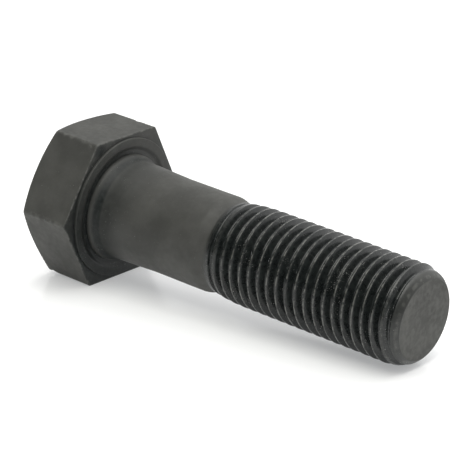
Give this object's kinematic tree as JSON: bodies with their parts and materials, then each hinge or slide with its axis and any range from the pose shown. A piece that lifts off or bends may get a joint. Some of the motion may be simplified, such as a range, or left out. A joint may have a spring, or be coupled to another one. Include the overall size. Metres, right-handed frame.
{
  "type": "hex bolt",
  "caption": "Heavy hex head bolt with a washer face, plain shank and coarse right-hand thread, in black oxide steel.",
  "frame": {"origin": "centre of the flat top of the hex head, on the bolt's axis", "axes": "+X along the bolt's axis from the head to the thread's end; two opposite wrench flats face +Z and -Z"},
  "size_m": [0.1173, 0.0468, 0.0408],
  "materials": {
    "black_oxide": "matte black oxide on forged steel",
    "oiled_thread": "black oxide on rolled thread, slightly glossy with oil"
  },
  "bodies": {
    "root": {"hex_head": "black_oxide", "washer_face": "black_oxide", "underhead_fillet": "black_oxide", "plain_shank": "black_oxide", "thread_runout": "oiled_thread", "full_thread": "oiled_thread", "chamfered_end": "oiled_thread"}
  },
  "joints": []
}
